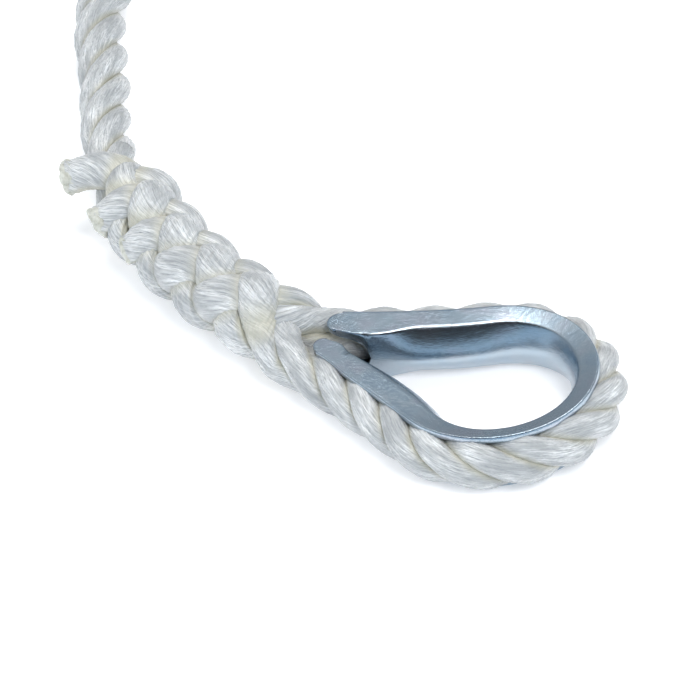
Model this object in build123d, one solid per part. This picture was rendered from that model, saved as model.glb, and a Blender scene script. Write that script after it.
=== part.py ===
from build123d import *
import math
import os

os.makedirs("parts", exist_ok=True)

# ---------------------------------------------------------------- driving dimensions, mm
# The row frame: origin at the centre of the crown of the thimble, on its mid-plane.
# +X points out through the crown, away from the splice, and +Z is square to the thimble's plane.
rope_d = 12.0                 # nominal rope
lay = 36.0                    # one turn of a strand in the rope
rest_z = -7.4                 # the surface that everything lies on

crown_r = 24.4                # outer rim of the thimble at the crown
leg_angle = 26.9              # each leg's slope to the axis where it leaves the crown
leg_len = 38.0                # along each leg, from the crown to the tip of its flanges
leg_bow = 280.0               # the legs bow in slightly, on this radius
plate = 1.6
crown_depth = 7.0             # rim to the eye side of the web, at the crown
leg_depth = 11.0              # the same, half way along a leg
end_depth = 9.0               # the same, where the web ends
crown_half = 7.4              # half the width over the flared flanges, at the crown
leg_half = 6.6                # half the width over the flat flanges of the legs
flange_crown = 4.6
flange_leg = 5.4
crown_flare = 1.5             # the flanges lean out by this much at the crown
leg_flare = 0.1
bend_pull = 0.24              # the flange turns down into the web in a tight bend
web_pull = 0.50
leg_blend = (0.55, 0.3)       # shares of the crown and of the leg over which one shape becomes the other
end_blend = (0.4, 0.5)
loft_sections = 33
tongue_gap = 1.8              # half the slot between the two pairs of flange tongues
slot_end_x = -25.0            # the legs have parted by here
web_end_x = -35.0
notch_half = 4.6
notch_round = 4.1
tongue_mid_y = 4.9            # each tongue ends in a half round that meets its slot and its rim
tongue_r = 3.1
tongue_round_x = -42.4
tongue_turn = 10.0            # half the slope of the rim there, degrees
clear = 60.0                  # longer than the thimble, so that a cutter passes right through

strand_d = 4.0                # a strand as it is squeezed in the groove and in the splice
strand_orbit = 2.75           # strand centres off the rope's centre, in the groove
rope_orbit = 3.2              # and in the free rope
seat_crown = 0.0              # rope centre outside the rim at the crown
seat_leg = -0.8               # and along the legs, where it is pulled further in
eye_step = 5.2
eye_gap = 3.0                 # the groove's strands stop short of the throat, where they join the splice's

splice_start = (-47.0, 0.0)   # the throat, where the two legs of the rope meet
splice_heading = 169.0        # direction of the splice there, degrees from +X
splice_bend = 130.0           # the splice and the rope after it lie in a curve of this radius
splice_rise = 2.6             # the splice is fatter than the thimble is wide, so it lies higher
merge_len = 18.5              # over which the two legs of the rope close up to one axis
leg_gap = 5.7                 # rope centres off the splice's axis, at the throat
splice_lay = 45.0
weave_mid = 5.6
weave_swing = 2.35
fade_start = 68.0             # the splice thins to plain rope from here
fade_end = 86.0
splice_end = 94.0
first_throat = 5.0
splice_step = 4.6
tuck_end = 84.0               # where the last tucked strand passes over for the last time
tuck_side = 141.0             # on the side away from +Y and above the middle, degrees from +Y
tail_run = 4.0                # each tail lifts off this far before that crossing
tail_lead = (3.6, 5.6, 6.4)
tail_reach = (0.8, 3.2, 6.0)
bead_len = 2.4
bead_r = 2.7
bead_round = 0.8
probe = 0.25                  # fineness of the search for where a tail leaves

# the free rope, from the splice to its coil, at the height that it lies on the surface
rope_r = rope_d / 2
route = [(-139.8, 72.9), (-153.5, 94.5), (-160.8, 119.5), (-162.1, 147.5), (-162.0, 178.0)]
coil_centre = (-96.1, 220.4)
coil_mid_r = 60.0             # two turns wide and two high
coil_round = 4.2
whipping_r = 6.7
whipping_len = 16.0
whipping_back = 2.0           # of the rope shows beyond the whipping
end_route = [(-113.5, 175.8), (-123.0, 185.6), (-126.0, 197.1), (-123.5, 217.1)]

arc_share = 0.45


# ---------------------------------------------------------------- helpers
def smooth(t):
    t = min(1.0, max(0.0, t))
    return t * t * (3 - 2 * t)


def rounded_path(points, name):
    # straight runs joined by tangent arcs, each as large as its two runs allow
    vectors = [Vector(*p) for p in points]
    radii = []
    for before, here, after in zip(vectors, vectors[1:], vectors[2:]):
        run_in = here - before
        run_out = after - here
        half_turn = math.radians(run_in.get_angle(run_out)) / 2
        radii.append(arc_share * min(run_in.length, run_out.length) / math.tan(half_turn))
    print(name, "arc radii", round(min(radii), 1), "to", round(max(radii), 1))
    return FilletPolyline(*vectors, radius=radii)


def tube(points, diameter, name):
    path = rounded_path(points, name)
    start = Plane(origin=path @ 0, z_dir=path % 0)
    solid = sweep(start * Circle(diameter / 2), path=path)
    expected = math.pi * diameter ** 2 / 4 * path.length
    print(name, "length", round(path.length, 1), "volume over expected", round(solid.volume / expected, 4))
    return solid


# ---------------------------------------------------------------- outer rim of the thimble
crown_half_turn = math.radians(90 + leg_angle)
crown_half_len = crown_r * crown_half_turn
rim_half_len = crown_half_len + leg_len


def rim_station(s):
    # place and heading on the outer rim, s mm from the crown's middle towards +Y
    side = 1 if s >= 0 else -1
    run = abs(s)
    if run <= crown_half_len:
        turn = run / crown_r
        x, y = crown_r * math.cos(turn), crown_r * math.sin(turn)
        heading = turn + math.pi / 2
    else:
        along = run - crown_half_len
        first = crown_half_turn + math.pi / 2
        heading = first - along / leg_bow
        x = crown_r * math.cos(crown_half_turn) - leg_bow * (math.sin(heading) - math.sin(first))
        y = crown_r * math.sin(crown_half_turn) + leg_bow * (math.cos(heading) - math.cos(first))
    tangent = (math.cos(heading), math.sin(heading))
    if side < 0:
        return (x, -y), (-tangent[0], tangent[1])
    return (x, y), tangent


def leg_share(s):
    # 0 round the crown, 1 along the legs
    first = leg_blend[0] * crown_half_len
    last = crown_half_len + leg_blend[1] * leg_len
    return smooth((abs(s) - first) / (last - first))


def section(s):
    # the channel's section square to the rim: flanges, then a web that rounds over to the eye
    to_leg = leg_share(s)
    to_end = smooth((abs(s) - crown_half_len - end_blend[0] * leg_len) / (end_blend[1] * leg_len))
    depth = crown_depth + (leg_depth - crown_depth) * to_leg + (end_depth - leg_depth) * to_end
    rim = crown_half + (leg_half - crown_half) * to_leg
    flange = flange_crown + (flange_leg - flange_crown) * to_leg
    bend = rim - crown_flare - (leg_flare - crown_flare) * to_leg
    slope = math.atan2(rim - bend, flange)
    dx, dz = plate * math.sin(slope), plate * math.cos(slope)
    outer = quarter(flange, bend, depth, slope)
    inner = quarter(flange - dx, bend - dz, depth - plate, slope)
    edges = [Line((0, rim), (flange, bend)), Bezier(*outer), Bezier(*mirrored(outer)),
             Line((flange, -bend), (0, -rim)), Line((0, -rim), (-dx, -rim + dz)),
             Line((-dx, -rim + dz), (flange - dx, -bend + dz)), Bezier(*[(a, -b) for a, b in inner]),
             Bezier(*inner[::-1]), Line((flange - dx, bend - dz), (-dx, rim - dz)),
             Line((-dx, rim - dz), (0, rim))]
    (x, y), (tx, ty) = rim_station(s)
    place = Plane(origin=(x, y, 0), x_dir=(-ty, tx, 0), z_dir=(tx, ty, 0))
    return place * make_face(edges)


def quarter(flange, bend, depth, slope):
    # control points of the web's curve from a flange to the middle
    reach = bend_pull * (depth - flange)
    return [(flange, bend), (flange + reach, bend - reach * math.tan(slope)),
            (depth, web_pull * bend), (depth, 0)]


def mirrored(points):
    return [(a, -b) for a, b in points[::-1]]


def make_thimble():
    last = loft_sections - 1
    stations = [rim_half_len * (2 * k / last - 1) for k in range(loft_sections)]
    channel = loft([section(s) for s in stations])
    slot = Pos(slot_end_x - clear / 2, 0, 0) * Box(clear, 2 * tongue_gap, clear)
    notch = Pos(web_end_x - clear / 2, 0, 0) * Box(clear, clear, 2 * notch_half)
    notch = fillet(notch.edges().filter_by(Axis.Y).group_by(Axis.X)[-1], notch_round)
    body = channel - slot - notch
    for side in (-1, 1):
        centre = Pos(tongue_round_x, side * tongue_mid_y, 0)
        tip = Pos(-clear / 2, 0, 0) * Box(clear, 2 * tongue_mid_y, clear)
        body -= centre * Rot(0, 0, side * tongue_turn) * tip - centre * Cylinder(tongue_r, clear)
    return body


# ---------------------------------------------------------------- the rope's centre line
def seat_station(s):
    # centre of the rope in the groove, with its heading and its side direction
    (x, y), (tx, ty) = rim_station(s)
    out = seat_crown + (seat_leg - seat_crown) * leg_share(s)
    return (x + out * ty, y - out * tx, 0.0), (ty, -tx)


def splice_station(u):
    # centre of the splice, u mm from the throat, with its side direction towards +Y
    heading = math.radians(splice_heading)
    now = heading - u / splice_bend
    x = splice_start[0] + splice_bend * (math.sin(heading) - math.sin(now))
    y = splice_start[1] + splice_bend * (math.cos(now) - math.cos(heading))
    lifted = splice_rise * smooth(u / merge_len)
    lying = rest_z + rope_r - splice_rise
    z = lifted + lying * smooth((u - fade_start) / (splice_end - fade_start))
    return (x, y, z), (math.sin(now), -math.cos(now))


def around(centre, side, radius, angle):
    cx, cy, cz = centre
    reach = radius * math.cos(angle)
    return (cx + side[0] * reach, cy + side[1] * reach, cz + radius * math.sin(angle))


# ---------------------------------------------------------------- strands
def local_lay(u):
    # the lay opens out where the tucked strands lie among the others
    opened = smooth(u / merge_len) * (1 - smooth((u - fade_start) / (splice_end - fade_start)))
    return lay + (splice_lay - lay) * opened


def turned(u):
    # turns made about the splice's axis from the throat to u
    steps = 60
    return sum(u / steps / local_lay((k + 0.5) * u / steps) for k in range(steps))


turn = 2 * math.pi
tucked_phase = math.radians(tuck_side) - turn * turned(tuck_end)
wanted_turns = 2 * rim_half_len / lay
standing_phase = math.radians(tuck_side) + turn * turned(tuck_end)
spare_turns = (math.pi - standing_phase - tucked_phase) / turn
eye_turns = spare_turns + round((wanted_turns - spare_turns) * 1.5) / 1.5


def tucked_angle(u, number):
    return tucked_phase + turn * (turned(u) + number / 3)


def eye_angle(s, number):
    return tucked_angle(0, number) + turn * eye_turns * (rim_half_len - s) / (2 * rim_half_len)


def standing_angle(u, number):
    return math.pi - eye_angle(-rim_half_len, number) - turn * turned(u)


def swing(u):
    # +1 where the tucked strands pass over the standing ones, -1 where they pass under
    return math.cos(1.5 * (standing_angle(u, 0) - tucked_angle(u, 0)))


def off_axis(u, direction):
    centre, side = splice_station(u)
    gap = direction * leg_gap * (1 - smooth(u / merge_len))
    return (centre[0] + side[0] * gap, centre[1] + side[1] * gap, centre[2]), side


def standing_point(u, number):
    centre, side = off_axis(u, -1)
    fade = smooth((u - fade_start) / (fade_end - fade_start))
    woven = weave_mid - weave_swing * swing(u)
    orbit = strand_orbit + (woven - strand_orbit) * smooth(u / merge_len) * (1 - fade)
    orbit += (rope_orbit - strand_orbit) * fade
    return around(centre, side, orbit, standing_angle(u, number))


def tucked_point(u, number, reach=0.0):
    centre, side = off_axis(u, 1)
    woven = weave_mid + weave_swing * swing(u)
    orbit = strand_orbit + (woven - strand_orbit) * smooth(u / merge_len)
    return around(centre, side, orbit + reach, tucked_angle(u, number))


def eye_point(s, number):
    centre, side = seat_station(s)
    return around(centre, side, strand_orbit, eye_angle(s, number))


def spaced(first, last, step):
    count = round(abs(last - first) / step)
    return [first + (last - first) * k / count for k in range(count + 1)]


def middle(a, b):
    return tuple((p + q) / 2 for p, q in zip(a, b))


def last_tuck(number):
    # the three tucked strands stand out of the same side, a third of a turn apart
    u = tuck_end
    while turned(tuck_end) - turned(u) < number / 3:
        u -= probe
    return u - tail_run


def make_strand(number):
    eye = [eye_point(s, number) for s in spaced(rim_half_len - eye_gap, eye_gap - rim_half_len, eye_step)]
    standing = [standing_point(u, number) for u in spaced(first_throat, splice_end - 1, splice_step)]
    out = last_tuck(number)
    tucked = [tucked_point(u, number) for u in spaced(first_throat, out, splice_step)]
    for reach, lead in zip(tail_reach, tail_lead):
        (x, y, z) = tucked_point(out + lead, number, reach)
        tucked.append((x, y, max(z, rest_z + bead_r)))
    eye = [middle(tucked[0], eye[0])] + eye + [middle(eye[-1], standing[0])]
    label = str(number + 1)
    tail = tube([eye[0]] + tucked, strand_d, "tucked_strand_" + label)
    return {
        "eye_strand_" + label: tube(eye, strand_d, "eye_strand_" + label),
        "standing_strand_" + label: tube([eye[-1]] + standing, strand_d, "standing_strand_" + label),
        "tucked_strand_" + label: tail,
        "sealed_end_" + label: make_bead(tucked[-2], tucked[-1]),
    }


def make_bead(before, end):
    # the strand's end, melted to a blunt bead a little wider than the strand
    along = Vector(*end) - Vector(*before)
    bead = Pos(0, 0, bead_len / 2) * Cylinder(bead_r, bead_len)
    bead = fillet(bead.edges(), bead_round)
    return Plane(origin=end, z_dir=along) * bead


# ---------------------------------------------------------------- free rope
def make_coil():
    low, high = rest_z, rest_z + 2 * rope_d
    ring = Cylinder(coil_mid_r + rope_d, high - low) - Cylinder(coil_mid_r - rope_d, high - low)
    ring = fillet(ring.edges().filter_by(GeomType.CIRCLE), coil_round)
    return Pos(*coil_centre, (low + high) / 2) * ring


def make_free_rope():
    start, _ = splice_station(splice_end)
    coil = make_coil()
    lying = [(x, y, rest_z + rope_r) for x, y in route]
    lead = tube([start] + lying, rope_d, "standing_rope") - coil
    end_points = [(x, y, rest_z + whipping_r) for x, y in end_route]
    rope_end = tube(end_points, rope_d, "rope_end") - coil
    tip = Vector(*end_points[-1])
    along = (tip - Vector(*end_points[-2])).normalized()
    sleeve = Cylinder(whipping_r, whipping_len)
    sleeve = Plane(origin=tip - along * (whipping_len / 2 + whipping_back), z_dir=along) * sleeve
    return {
        "standing_rope": lead,
        "rope_coil": coil,
        "rope_end": rope_end,
        "end_whipping": sleeve - rope_end,
    }


pieces = {"thimble": make_thimble()}
for number in range(3):
    pieces.update(make_strand(number))
pieces.update(make_free_rope())
for name, shape in pieces.items():
    print(name, "solids", len(shape.solids()), "volume", round(shape.volume, 1), "valid", shape.is_valid)
    export_step(shape, "parts/" + name + ".step")
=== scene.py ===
import bmesh
import bpy
import math
from mathutils import Matrix, Vector, noise


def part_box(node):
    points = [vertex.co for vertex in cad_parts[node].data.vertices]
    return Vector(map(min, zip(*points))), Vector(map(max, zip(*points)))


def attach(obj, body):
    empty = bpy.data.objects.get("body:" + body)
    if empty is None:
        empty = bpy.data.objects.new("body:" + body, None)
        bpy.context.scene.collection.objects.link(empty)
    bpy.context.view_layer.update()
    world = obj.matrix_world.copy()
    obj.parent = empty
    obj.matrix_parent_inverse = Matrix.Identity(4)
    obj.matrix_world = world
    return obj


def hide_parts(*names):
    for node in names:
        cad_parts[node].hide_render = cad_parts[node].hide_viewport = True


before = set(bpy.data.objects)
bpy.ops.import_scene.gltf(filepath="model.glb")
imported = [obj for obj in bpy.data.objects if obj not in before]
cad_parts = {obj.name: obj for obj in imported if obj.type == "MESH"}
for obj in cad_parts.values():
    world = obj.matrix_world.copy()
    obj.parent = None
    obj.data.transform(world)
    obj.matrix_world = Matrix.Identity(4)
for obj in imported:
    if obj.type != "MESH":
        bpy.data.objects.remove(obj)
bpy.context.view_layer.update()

mm = 0.001
fullTurn = 2 * math.pi


def boxOf(node):
    # lowest and highest corner of a CAD node, in millimetres
    low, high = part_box(node)
    return low / mm, high / mm


def smooth(t):
    t = min(1.0, max(0.0, t))
    return t * t * (3 - 2 * t)


def mix(a, b, share):
    return a + (b - a) * share


def addNode(tree, kind, inputs={}, **settings):
    # one node with its settings, its socket values and its links
    node = tree.nodes.new(kind)
    for name, value in settings.items():
        setattr(node, name, value)
    for name, value in inputs.items():
        if isinstance(value, bpy.types.NodeSocket):
            tree.links.new(value, node.inputs[name])
        else:
            node.inputs[name].default_value = value
    return node


def addObject(name, data):
    obj = bpy.data.objects.new(name, data)
    bpy.context.scene.collection.objects.link(obj)
    return obj


def colour(code):
    # an sRGB hex value as linear RGBA
    parts = [int(code[k:k + 2], 16) / 255 for k in (1, 3, 5)]
    linear = [p / 12.92 if p <= 0.04045 else ((p + 0.055) / 1.055) ** 2.4 for p in parts]
    return (*linear, 1.0)


# the thimble and the coil give the sizes that everything else follows
thimbleLow, thimbleHigh = boxOf("thimble")
coilLow, coilHigh = boxOf("rope_coil")
restHeight = coilLow.z
crownRadius = thimbleHigh.x
ropeDiameter = (coilHigh.z - coilLow.z) / 2
ropeRadius = ropeDiameter / 2

# ---- camera
camera = {
    "turn": 30.8,           # degrees round the eye, from -Y towards +X
    "rise": 38.6,
    "tilt": 0.1138,         # sine of the roll
    "distance": 5000.0,
    "width": 162.8,         # what the view spans at the eye
    "aside": (-32.3, 8.4),  # view centre from the crown's centre, along and up
    "sensor": 36,
    "clip": (0.05, 20),
}
turnAngle, riseAngle = math.radians(camera["turn"]), math.radians(camera["rise"])
forward = Vector((-math.sin(turnAngle) * math.cos(riseAngle), math.cos(turnAngle) * math.cos(riseAngle),
                  -math.sin(riseAngle)))
level = Vector((math.cos(turnAngle), math.sin(turnAngle), 0))
upright = level.cross(forward)
cosTilt = math.sqrt(1 - camera["tilt"] ** 2)
viewRight = level * cosTilt - upright * camera["tilt"]
viewUp = level * camera["tilt"] + upright * cosTilt
aim = Vector((0, 0, thimbleHigh.z)) + level * camera["aside"][0] + upright * camera["aside"][1]
lensData = bpy.data.cameras.new("camera")
lensData.sensor_width = camera["sensor"]
lensData.lens = lensData.sensor_width * camera["distance"] / camera["width"]
lensData.clip_start, lensData.clip_end = camera["clip"]
viewer = addObject("camera", lensData)
stance = Matrix((viewRight, viewUp, -forward)).transposed().to_4x4()
stance.translation = (aim - forward * camera["distance"]) * mm
viewer.matrix_world = stance
bpy.context.scene.camera = viewer
print("camera placed")

# ---- the line that the splice and the free rope follow
spliceLine = {
    "throatBehind": 1.5,    # mm from the tips of the tongues back to the throat
    "throatAside": -0.4,
    "heading": 169.0,        # degrees from +X
    "bend": 130.0,
    "rise": 2.9,             # the splice is fatter than the thimble is wide, so it lies higher
    "merge": 18.5,           # the two legs of the rope close up over this length
    "legGap": 6.0,
    "fade": (68.0, 86.0),    # the splice thins to plain rope
    "end": 94.0,
}
firstHeading = math.radians(spliceLine["heading"])
throat = Vector((thimbleLow.x - spliceLine["throatBehind"], spliceLine["throatAside"], 0))
spliceEnd = spliceLine["end"]


def merged(u):
    return smooth(u / spliceLine["merge"])


def faded(u):
    first, last = spliceLine["fade"]
    return smooth((u - first) / (last - first))


def spliceStation(u):
    # centre of the splice, u mm from the throat, and its side towards +Y
    bend = spliceLine["bend"]
    now = firstHeading - u / bend
    x = throat.x + bend * (math.sin(firstHeading) - math.sin(now))
    y = throat.y + bend * (math.cos(now) - math.cos(firstHeading))
    lying = restHeight + ropeRadius - spliceLine["rise"]
    settled = smooth((u - spliceLine["fade"][0]) / (spliceEnd - spliceLine["fade"][0]))
    z = spliceLine["rise"] * merged(u) + lying * settled
    return Vector((x, y, z)), Vector((math.sin(now), -math.cos(now), 0))


# ---- free rope: its centre line first
freeRope = {
    "length": 1655.0,
    "route": [(-139.8, 72.9), (-153.5, 94.5), (-160.8, 119.5), (-162.1, 147.5), (-162.0, 178.0)],
    "leadOut": 12.0,         # the rope leaves straight on from the splice
    "coilFrom": 172.0,       # degrees, where the rope meets its coil
    "turns": 3.72,
    "perTurn": 16,
    "climb": (0.78, 0.94),   # turns: over its own start, on to the upper layer
    "inward": (1.72, 1.92),
    "drop": (2.70, 2.88),
    "leave": (3.45, 3.80),
    "endRoute": [(-113.5, 175.8), (-123.0, 185.6), (-126.0, 197.1), (-123.5, 217.1)],
    "lay": 36.0,
    "curveSteps": 8,
    "step": 2.2,
    "around": 26,
    "yarns": 13,
    "ridge": 0.22,
    "unevenness": 0.3,
    "orbit": 3.12,
    "strand": 2.98,
    "yarnTurn": 30.0,        # mm of rope in which a yarn goes once round its strand
    "settle": 20.0,          # mm over which the splice's strands take the free rope's size
}
coilCentre = (coilLow + coilHigh) / 2
coilMiddle = (coilHigh.x - coilLow.x) / 2 - ropeDiameter


def coilPoint(t):
    # t turns along the coil, clockwise from above: outer low, outer high, inner high, inner low
    inner = smooth((t - freeRope["inward"][0]) / (freeRope["inward"][1] - freeRope["inward"][0]))
    leaving = smooth((t - freeRope["leave"][0]) / (freeRope["leave"][1] - freeRope["leave"][0]))
    radius = coilMiddle + ropeRadius - ropeDiameter * inner - ropeRadius * leaving
    lifted = smooth((t - freeRope["climb"][0]) / (freeRope["climb"][1] - freeRope["climb"][0]))
    dropped = smooth((t - freeRope["drop"][0]) / (freeRope["drop"][1] - freeRope["drop"][0]))
    height = restHeight + ropeRadius + ropeDiameter * (lifted - dropped)
    angle = math.radians(freeRope["coilFrom"]) - fullTurn * t
    control = radius / math.cos(math.pi / freeRope["perTurn"])  # the line runs inside its control points
    return (coilCentre.x + control * math.cos(angle), coilCentre.y + control * math.sin(angle), height)


floorHeight = restHeight + ropeRadius
ropeExit, ropeSide = spliceStation(spliceEnd)
ropeAhead = Vector((-ropeSide.y, ropeSide.x, 0))
ropePoints = [tuple(ropeExit), tuple(ropeExit + ropeAhead * freeRope["leadOut"])]
ropePoints += [(x, y, floorHeight) for x, y in freeRope["route"]]
coilSteps = round(freeRope["turns"] * freeRope["perTurn"])
for k in range(coilSteps + 1):
    ropePoints.append(coilPoint(k / freeRope["perTurn"]))
ropePoints += [(x, y, floorHeight) for x, y in freeRope["endRoute"]]
ropeCurve = bpy.data.curves.new("ropeLine", "CURVE")
ropeCurve.dimensions = "3D"
ropeCurve.resolution_u = freeRope["curveSteps"]
ropeSpline = ropeCurve.splines.new("NURBS")
ropeSpline.points.add(len(ropePoints) - 1)
for point, place in zip(ropeSpline.points, ropePoints):
    point.co = (*[c * mm for c in place], 1)
ropeSpline.order_u = 3
ropeSpline.use_endpoint_u = True
ropeLine = addObject("ropeLine", ropeCurve)
lineMesh = bpy.data.meshes.new_from_object(ropeLine.evaluated_get(bpy.context.evaluated_depsgraph_get()))
ropePath = [v.co / mm for v in lineMesh.vertices]
bpy.data.objects.remove(ropeLine)
ropeLength = sum((b - a).length for a, b in zip(ropePath, ropePath[1:]))
print("free rope line", round(ropeLength), "mm")


def spacedAlong(points, step):
    # the same line with its points a fixed step apart
    total = sum((b - a).length for a, b in zip(points, points[1:]))
    count = round(total / step)
    result, index, passed = [points[0].copy()], 0, 0.0
    for k in range(1, count):
        wanted = total * k / count
        while passed + (points[index + 1] - points[index]).length < wanted:
            passed += (points[index + 1] - points[index]).length
            index += 1
        run = points[index + 1] - points[index]
        result.append(points[index] + run * ((wanted - passed) / run.length))
    return result + [points[-1].copy()]


# ---- Geometry Nodes: a strand of twisted yarns along its guide line
def makeTree(name, sockets):
    tree = bpy.data.node_groups.new(name, "GeometryNodeTree")
    tree.interface.new_socket("Geometry", in_out="INPUT", socket_type="NodeSocketGeometry")
    for label, kind, value in sockets:
        socket = tree.interface.new_socket(label, in_out="INPUT", socket_type="NodeSocket" + kind)
        if value is not None:
            socket.default_value = value
    tree.interface.new_socket("Geometry", in_out="OUTPUT", socket_type="NodeSocketGeometry")
    return tree


def closeTree(tree, geometry, material):
    # smooth shading, plain geometry and its material, then the way out
    soft = addNode(tree, "GeometryNodeSetShadeSmooth", {"Geometry": geometry})
    whole = addNode(tree, "GeometryNodeRealizeInstances", {"Geometry": soft.outputs[0]})
    dressed = addNode(tree, "GeometryNodeSetMaterial", {"Geometry": whole.outputs[0], "Material": material})
    addNode(tree, "NodeGroupOutput", {"Geometry": dressed.outputs[0]})
    return tree


yarnNoise = {"scale": 0.55, "detail": 2.0}


def buildLayYarns():
    # the guide's points carry where outwards is, both half widths, the yarns' turn and the length
    tree = makeTree("layYarns", [("Around", "Int", 72), ("Yarns", "Float", 15.0), ("Ridge", "Float", 0.0002),
                                 ("Unevenness", "Float", 0.0001), ("Rest", "Float", 0.0),
                                 ("Material", "Material", None)])
    start = addNode(tree, "NodeGroupInput").outputs
    line = addNode(tree, "GeometryNodeMeshToCurve", {"Mesh": start["Geometry"]})
    for label, kind in (("ahead", "GeometryNodeInputTangent"), ("centre", "GeometryNodeInputPosition")):
        line = addNode(tree, "GeometryNodeStoreNamedAttribute",
                       {"Geometry": line.outputs[0], "Name": label, "Value": addNode(tree, kind).outputs[0]},
                       data_type="FLOAT_VECTOR")
    ring = addNode(tree, "GeometryNodeCurvePrimitiveCircle", {"Resolution": start["Around"], "Radius": mm})
    index = addNode(tree, "GeometryNodeInputIndex")
    share = addNode(tree, "ShaderNodeMath", {0: index.outputs[0], 1: start["Around"]}, operation="DIVIDE")
    angle = addNode(tree, "ShaderNodeMath", {0: share.outputs[0], 1: fullTurn}, operation="MULTIPLY")
    withAngle = addNode(tree, "GeometryNodeStoreNamedAttribute",
                        {"Geometry": ring.outputs[0], "Name": "angle", "Value": angle.outputs[0]},
                        data_type="FLOAT")
    skin = addNode(tree, "GeometryNodeCurveToMesh", {"Curve": line.outputs[0],
                   "Profile Curve": withAngle.outputs[0], "Fill Caps": True})
    read = {}
    for label, kind in (("centre", "FLOAT_VECTOR"), ("ahead", "FLOAT_VECTOR"), ("outward", "FLOAT_VECTOR"),
                        ("wide", "FLOAT"), ("thick", "FLOAT"), ("twist", "FLOAT"), ("along", "FLOAT"),
                        ("angle", "FLOAT")):
        read[label] = addNode(tree, "GeometryNodeInputNamedAttribute", {"Name": label},
                              data_type=kind).outputs[0]
    # each yarn is a round ridge, and it keeps its place on the turning strand
    yarnAngle = addNode(tree, "ShaderNodeMath", {0: read["angle"], 1: read["twist"]}, operation="SUBTRACT")
    yarnCount = addNode(tree, "ShaderNodeMath", {0: yarnAngle.outputs[0], 1: start["Yarns"]},
                        operation="MULTIPLY")
    halfCount = addNode(tree, "ShaderNodeMath", {0: yarnCount.outputs[0], 1: 0.5}, operation="MULTIPLY")
    wave = addNode(tree, "ShaderNodeMath", {0: halfCount.outputs[0]}, operation="COSINE")
    crest = addNode(tree, "ShaderNodeMath", {0: wave.outputs[0]}, operation="ABSOLUTE")
    swell = addNode(tree, "ShaderNodeMath", {0: crest.outputs[0], 1: start["Ridge"]}, operation="MULTIPLY")
    yarnCos = addNode(tree, "ShaderNodeMath", {0: yarnAngle.outputs[0]}, operation="COSINE")
    yarnSin = addNode(tree, "ShaderNodeMath", {0: yarnAngle.outputs[0]}, operation="SINE")
    fibre = addNode(tree, "ShaderNodeCombineXYZ",
                    {0: yarnCos.outputs[0], 1: yarnSin.outputs[0], 2: read["along"]})
    uneven = addNode(tree, "ShaderNodeTexNoise", {"Vector": fibre.outputs[0], "Scale": yarnNoise["scale"],
                     "Detail": yarnNoise["detail"]})
    centred = addNode(tree, "ShaderNodeMath", {0: uneven.outputs[0], 1: 0.5}, operation="SUBTRACT")
    wobble = addNode(tree, "ShaderNodeMath", {0: centred.outputs[0], 1: start["Unevenness"]},
                     operation="MULTIPLY")
    relief = addNode(tree, "ShaderNodeMath", {0: swell.outputs[0], 1: wobble.outputs[0]}, operation="ADD")
    thick = addNode(tree, "ShaderNodeMath", {0: read["thick"], 1: relief.outputs[0]}, operation="ADD")
    wide = addNode(tree, "ShaderNodeMath", {0: read["wide"], 1: relief.outputs[0]}, operation="ADD")
    cosine = addNode(tree, "ShaderNodeMath", {0: read["angle"]}, operation="COSINE")
    sine = addNode(tree, "ShaderNodeMath", {0: read["angle"]}, operation="SINE")
    reachOut = addNode(tree, "ShaderNodeMath", {0: thick.outputs[0], 1: cosine.outputs[0]},
                       operation="MULTIPLY")
    reachAside = addNode(tree, "ShaderNodeMath", {0: wide.outputs[0], 1: sine.outputs[0]},
                         operation="MULTIPLY")
    # outwards, made square to the strand
    lean = addNode(tree, "ShaderNodeVectorMath", {0: read["outward"], 1: read["ahead"]},
                   operation="DOT_PRODUCT")
    leaning = addNode(tree, "ShaderNodeVectorMath", {0: read["ahead"], "Scale": lean.outputs["Value"]},
                      operation="SCALE")
    square = addNode(tree, "ShaderNodeVectorMath", {0: read["outward"], 1: leaning.outputs[0]},
                     operation="SUBTRACT")
    out = addNode(tree, "ShaderNodeVectorMath", {0: square.outputs[0]}, operation="NORMALIZE")
    aside = addNode(tree, "ShaderNodeVectorMath", {0: read["ahead"], 1: out.outputs[0]},
                    operation="CROSS_PRODUCT")
    moveOut = addNode(tree, "ShaderNodeVectorMath", {0: out.outputs[0], "Scale": reachOut.outputs[0]},
                      operation="SCALE")
    moveAside = addNode(tree, "ShaderNodeVectorMath", {0: aside.outputs[0], "Scale": reachAside.outputs[0]},
                        operation="SCALE")
    move = addNode(tree, "ShaderNodeVectorMath", {0: moveOut.outputs[0], 1: moveAside.outputs[0]},
                   operation="ADD")
    place = addNode(tree, "ShaderNodeVectorMath", {0: read["centre"], 1: move.outputs[0]}, operation="ADD")
    # a strand flattens where it touches what it lies on
    axes = addNode(tree, "ShaderNodeSeparateXYZ", {0: place.outputs[0]})
    lying = addNode(tree, "ShaderNodeMath", {0: axes.outputs[2], 1: start["Rest"]}, operation="MAXIMUM")
    resting = addNode(tree, "ShaderNodeCombineXYZ",
                      {0: axes.outputs[0], 1: axes.outputs[1], 2: lying.outputs[0]})
    placed = addNode(tree, "GeometryNodeSetPosition",
                     {"Geometry": skin.outputs[0], "Position": resting.outputs[0]})
    for label, value, kind in (("fibre", fibre, "FLOAT_VECTOR"), ("crest", crest, "FLOAT"),
                               ("facing", cosine, "FLOAT")):
        placed = addNode(tree, "GeometryNodeStoreNamedAttribute",
                         {"Geometry": placed.outputs[0], "Name": label, "Value": value.outputs[0]},
                         data_type=kind)
    return closeTree(tree, placed.outputs[0], start["Material"])


layYarns = buildLayYarns()


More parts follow.
